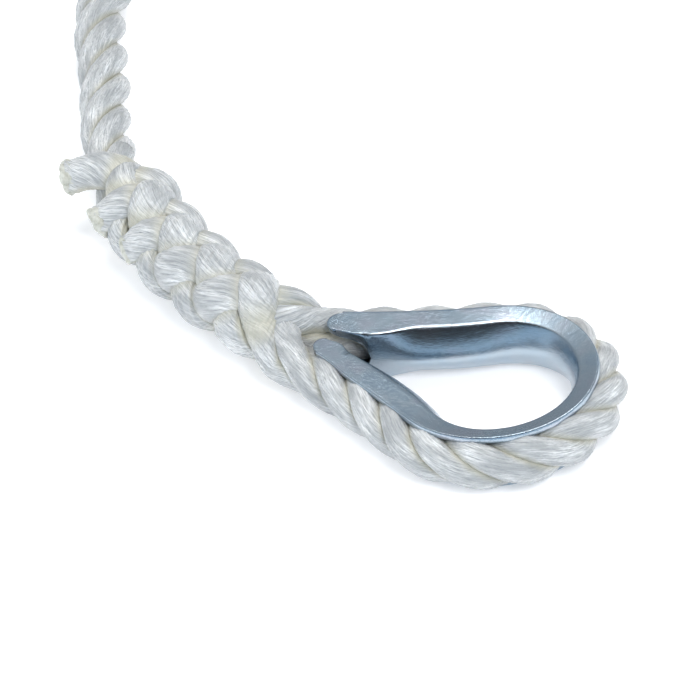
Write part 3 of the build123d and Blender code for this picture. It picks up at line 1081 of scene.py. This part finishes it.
def channelRow(s):
    # one section of the upper half: its eye side and its groove side, and whether the notch cuts it
    place, _, inward = rimStation(s)
    toLeg = legShare(s)
    along = (abs(s) - crownHalfLength) / groove["legLength"]
    toEnd = smooth((along - channel["endBlend"][0]) / channel["endBlend"][1])
    depth = mix(mix(channel["crownDepth"], channel["legDepth"], toLeg), channel["endDepth"], toEnd)
    rim = mix(channel["crownHalf"], channel["legHalf"], toLeg)
    flange = mix(channel["crownFlange"], channel["legFlange"], toLeg)
    bend = rim - mix(channel["crownFlare"], channel["legFlare"], toLeg)
    slope = math.atan2(rim - bend, flange)
    if place.x < channel["slotFrom"]:
        side = 1 if s > 0 else -1
        slotReach = (abs(place.y) - channel["slotHalf"][side]) / abs(inward.y) - channel["edge"]
        depth = min(depth, slotReach)
        first, last = channel["flatten"][side]
        flat = smooth((first - place.x) / (first - last))
        flange = mix(flange, slotReach - channel["slack"], flat)
    edge = channel["edge"]
    fromX, toX = channel["trimFrom"]
    trim = channel["trim"] * smooth((fromX - place.x) / (fromX - toX)) if s < 0 else 0.0
    shiftIn, shiftDown = channel["plate"] * math.sin(slope), channel["plate"] * math.cos(slope)
    rows, cuts = [], []
    for inset, drop, deep, top in ((0.0, 0.0, depth, channel["notchOuter"]),
                                   (shiftIn, shiftDown, depth - channel["plate"], channel["notchInner"])):
        reach = max(flange - inset, edge)
        deep = max(deep, reach + channel["least"])
        curve = plateCurve(reach, bend - drop, deep, slope)
        start = (edge * math.cos(slope) - inset + trim, rim - drop - (edge + trim) * math.sin(slope))

        def notchFloor(a):
            past = channel["notchEnd"] - (place.x + inward.x * a)
            if past <= 0:
                return -1.0
            share = min(1.0, past / channel["notchRound"])
            return channel["notchFlat"] + top * math.sqrt(1 - (1 - share) ** 2)

        curve, cut = cutCurve([start] + curve, notchFloor)
        cuts.append(cut)
        rows.append([place + inward * a + Vector((0, 0, z)) for a, z in evenly(curve, channel["across"])])
    notched = all(cuts)
    if not notched:
        for row in rows:
            row[-1].z = 0.0
    return rows[0], rows[1], notched, -inward


def noseRows(row, side):
    # rows that swing from the last straight section to the tongue's round end
    outer, inner = row[:2]
    centre = Vector((*channel["nose"][side][:2], 0))
    radius = channel["nose"][side][2] - channel["edge"]
    firstWay = (outer[0] - centre).xy.normalized()
    firstAngle = math.atan2(firstWay.y, firstWay.x)
    lastAngle = -math.pi / 2 * side
    if side > 0:
        lastAngle += fullTurn if lastAngle < firstAngle else 0
    else:
        lastAngle -= fullTurn if lastAngle > firstAngle else 0
    away = Vector((math.cos(firstAngle), math.sin(firstAngle), 0))
    rows = []
    for k in range(1, channel["noseRows"] + 1):
        share = k / channel["noseRows"]
        both = []
        for line in (outer, inner):
            moved = []
            for j, point in enumerate(line):
                angle = mix(firstAngle, lastAngle, j / channel["across"])
                end = centre + Vector((math.cos(angle), math.sin(angle), 0)) * radius
                moved.append(Vector((mix(point.x, end.x, share), mix(point.y, end.y, share), point.z)))
            both.append(moved)
        rows.append((both[0], both[1], True, away))
    return rows


def buildThimble():
    # straight sections as far as the noses' centres
    reach = rimHalfLength
    while (rimStation(reach)[0] - Vector((*channel["nose"][1][:2], 0))).dot(rimStation(reach)[1]) > 0:
        reach -= channel["least"]
    count = round(2 * reach / channel["spacing"])
    rows = [channelRow(mix(-reach, reach, k / count)) for k in range(count + 1)]
    rows = noseRows(rows[0], -1)[::-1] + rows + noseRows(rows[-1], 1)
    bm = bmesh.new()
    outer = [[bm.verts.new(p * mm) for p in row[0]] for row in rows]
    inner = [[bm.verts.new(p * mm) for p in row[1]] for row in rows]
    across, last = channel["across"], len(rows) - 1
    for i in range(last):
        for j in range(across):
            bm.faces.new((outer[i][j], outer[i + 1][j], outer[i + 1][j + 1], outer[i][j + 1]))
            bm.faces.new((inner[i][j + 1], inner[i + 1][j + 1], inner[i + 1][j], inner[i][j]))
    # the plate's edge: from the notch round a nose, along the rim, round the other nose and back to the notch
    cutRows = [i for i in range(last + 1) if rows[i][2]]
    firstCut = max(i for i in cutRows if i < last / 2) + 1
    lastCut = min(i for i in cutRows if i > last / 2) - 1
    chain = [(i, across) for i in range(firstCut, -1, -1)]
    chain += [(0, j) for j in range(across - 1, 0, -1)]
    chain += [(i, 0) for i in range(last + 1)]
    chain += [(last, j) for j in range(1, across)]
    chain += [(i, across) for i in range(last, lastCut - 1, -1)]
    strips = []
    for i, j in chain:
        top, bottom = rows[i][0][j], rows[i][1][j]
        if j == 0:
            away = rows[i][0][0] - rows[i][0][1] if 0 < i < last else rows[i][3]
        elif j == across:
            away = rows[i][0][across] - rows[i][0][across - 1]
        else:
            side = -1 if i == 0 else 1
            away = top - Vector((*channel["nose"][side][:2], top.z))
        if i in (firstCut, lastCut) and j == across:
            away = Vector((0, 0, 0))
        away = away.normalized() * channel["edge"]
        strip = [outer[i][j]]
        for k in range(1, channel["edgeSteps"]):
            angle = math.pi * k / channel["edgeSteps"]
            tall = math.copysign(abs(math.cos(angle)) ** channel["edgePower"], math.cos(angle))
            bulge = math.sin(angle) ** channel["edgePower"]
            strip.append(bm.verts.new((bottom.lerp(top, (1 + tall) / 2) + away * bulge) * mm))
        strips.append(strip + [inner[i][j]])
    for here, after in zip(strips, strips[1:]):
        for k in range(channel["edgeSteps"]):
            bm.faces.new((here[k], here[k + 1], after[k + 1], after[k]))
    both = bmesh.ops.duplicate(bm, geom=bm.verts[:] + bm.faces[:])
    for item in both["geom"]:
        if isinstance(item, bmesh.types.BMVert):
            item.co.z = -item.co.z
    bmesh.ops.remove_doubles(bm, verts=bm.verts, dist=channel["weld"] * mm)
    bmesh.ops.recalc_face_normals(bm, faces=bm.faces)
    mesh = bpy.data.meshes.new("zincThimble")
    bm.to_mesh(mesh)
    print("thimble open edges", sum(1 for e in bm.edges if len(e.link_faces) != 2))
    bm.free()
    mesh.shade_smooth()
    mesh.materials.append(zincMaterial)
    return addObject("zincThimble", mesh)


thimble = buildThimble()
finishPiece(thimble, "zinc_plate", "thimble")

# ---- floor and light
studio = {
    "floor": ("#F2F2F3", "#F4F4F5"),
    "floorHalf": 3,
    "floorGrain": 3.0,
    "floorRoughness": 0.8,
    "aim": (-0.03, 0.0, 0.0),
    "far": ((0.0, "#8A9096"), (0.45, "#959BA1"), (0.72, "#A0A6AB"), (0.86, "#FFFFFF")),
    "near": ((0.0, "#B4C9DB"), (0.5, "#A9BDCE"), (0.66, "#4A4D50"), (1.0, "#303234")),
    "between": (-0.25, 0.1),    # the room behind the camera is dark
    "skyStrength": 1.4,
    "glow": 0.35,             # the table is lit from below
}
floorMesh = bpy.data.meshes.new("floor")
floorLevel = restHeight * mm
half = studio["floorHalf"]
corners = [(-half, -half), (half, -half), (half, half), (-half, half)]
floorMesh.from_pydata([(*corner, floorLevel) for corner in corners], [], [(0, 1, 2, 3)])
floorMaterial, floorTree, floorShader = makeMaterial("paleCard")
speck = addNode(floorTree, "ShaderNodeTexNoise", {"Scale": studio["floorGrain"]})
floorTint = addNode(floorTree, "ShaderNodeMix", {0: speck.outputs[0], 6: colour(studio["floor"][0]),
                    7: colour(studio["floor"][1])}, data_type="RGBA")
floorTree.links.new(floorTint.outputs[2], floorShader.inputs["Base Color"])
floorShader.inputs["Roughness"].default_value = studio["floorRoughness"]
floorShader.inputs["Emission Color"].default_value = colour(studio["floor"][1])
floorShader.inputs["Emission Strength"].default_value = studio["glow"]
floorMesh.materials.append(floorMaterial)
floor = addObject("floor", floorMesh)

sky = bpy.data.worlds.new("studio")
bpy.context.scene.world = sky
sky.use_nodes = True
skyTree = sky.node_tree
skyShade = next(node for node in skyTree.nodes if node.type == "BACKGROUND")
skyPlace = addNode(skyTree, "ShaderNodeTexCoord")
skyAxes = addNode(skyTree, "ShaderNodeSeparateXYZ", {0: skyPlace.outputs["Generated"]})
ramps = [toneRamp(skyTree, skyAxes.outputs[2], studio[side]) for side in ("far", "near")]
facing = addNode(skyTree, "ShaderNodeVectorMath", {0: skyPlace.outputs["Generated"],
                 1: (math.sin(turnAngle), -math.cos(turnAngle), 0)}, operation="DOT_PRODUCT")
first, last = studio["between"]
nearShare = addNode(skyTree, "ShaderNodeMapRange", {"Value": facing.outputs["Value"], "From Min": first,
                    "From Max": last}, interpolation_type="SMOOTHSTEP")
skyTint = addNode(skyTree, "ShaderNodeMix", {0: nearShare.outputs[0], 6: ramps[0].outputs[0],
                  7: ramps[1].outputs[0]}, data_type="RGBA")
skyTree.links.new(skyTint.outputs[2], skyShade.inputs["Color"])
skyShade.inputs["Strength"].default_value = studio["skyStrength"]

lamps = {
    "key": {"place": (0.55, -0.35, 0.75), "size": 0.5, "power": 7.0, "mirrored": False},
    "fill": {"place": (-0.7, -0.55, 0.55), "size": 0.7, "power": 4.5, "mirrored": False},
    "back": {"place": (-0.1, 0.5, 1.15), "size": 0.5, "power": 5.5, "mirrored": True},
}
for name, lamp in lamps.items():
    data = bpy.data.lights.new(name, "AREA")
    data.shape = "SQUARE"
    data.size = lamp["size"]
    data.energy = lamp["power"]
    light = addObject(name, data)
    light.location = lamp["place"]
    light.visible_glossy = lamp["mirrored"]
    light.rotation_euler = (Vector(studio["aim"]) - light.location).to_track_quat("-Z", "Y").to_euler()
bpy.context.scene.view_settings.view_transform = "Standard"
print("studio lit")
